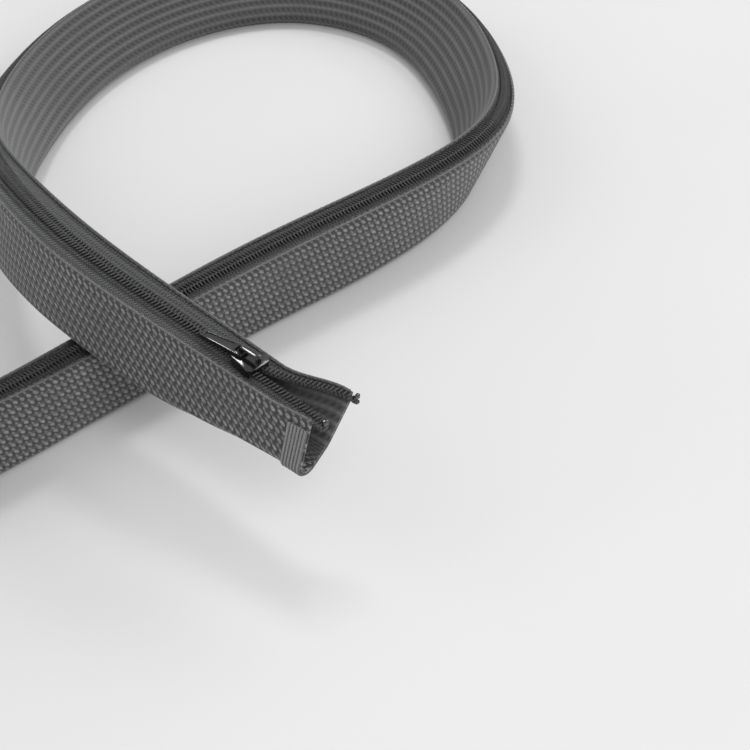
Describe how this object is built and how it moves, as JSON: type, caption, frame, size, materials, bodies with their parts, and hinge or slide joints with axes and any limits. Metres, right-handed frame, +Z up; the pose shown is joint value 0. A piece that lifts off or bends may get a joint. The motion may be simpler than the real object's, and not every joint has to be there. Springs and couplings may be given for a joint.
{
  "type": "zippered cable sleeve",
  "caption": "Flattened woven tube that bundles cables, laid in a loop, with a zip along its narrow top face, a slider with a puller near the front mouth and stitched hems",
  "frame": {"origin": "on the table under the middle of the laid sleeve's bounding box", "axes": "+Z up; the front strand with the slider runs along -X away from its mouth, and the rear strand runs along -Y to the other end"},
  "size_m": [0.3282, 0.3968, 0.0728],
  "materials": {
    "braid": "charcoal woven polyester monofilament with a soft sheen",
    "hem": "charcoal overlock stitching in close ribs",
    "tape": "black woven zip tape, dull",
    "teeth": "black coil teeth, satin",
    "slider": "gloss black enamel on cast metal"
  },
  "bodies": {
    "sleeve": {"braided_sleeve": "braid", "hem_front": "hem", "hem_rear": "hem", "zip_tape_outer": "tape", "zip_tape_inner": "tape", "zip_teeth_outer": "teeth", "zip_teeth_inner": "teeth", "stop_outer": "slider", "stop_inner": "slider", "stop_rear": "slider"},
    "slider": {"slider_body": "slider"},
    "puller": {"puller": "slider"}
  },
  "joints": [
    {"name": "slider_slide", "type": "slide", "parent": "sleeve", "child": "slider", "axis": [0.9926, 0, -0.1214], "range_m": [-0.04, 0.024], "deforming": ["zip_tape_outer", "zip_tape_inner", "zip_teeth_outer", "zip_teeth_inner"]},
    {"name": "puller_hinge", "type": "hinge", "parent": "slider", "child": "puller", "pos_m": [0.12193, -0.11104, 0.06639], "axis": [-0.1038, 0.9945, 0.0127], "range_deg": [0, 115]}
  ]
}
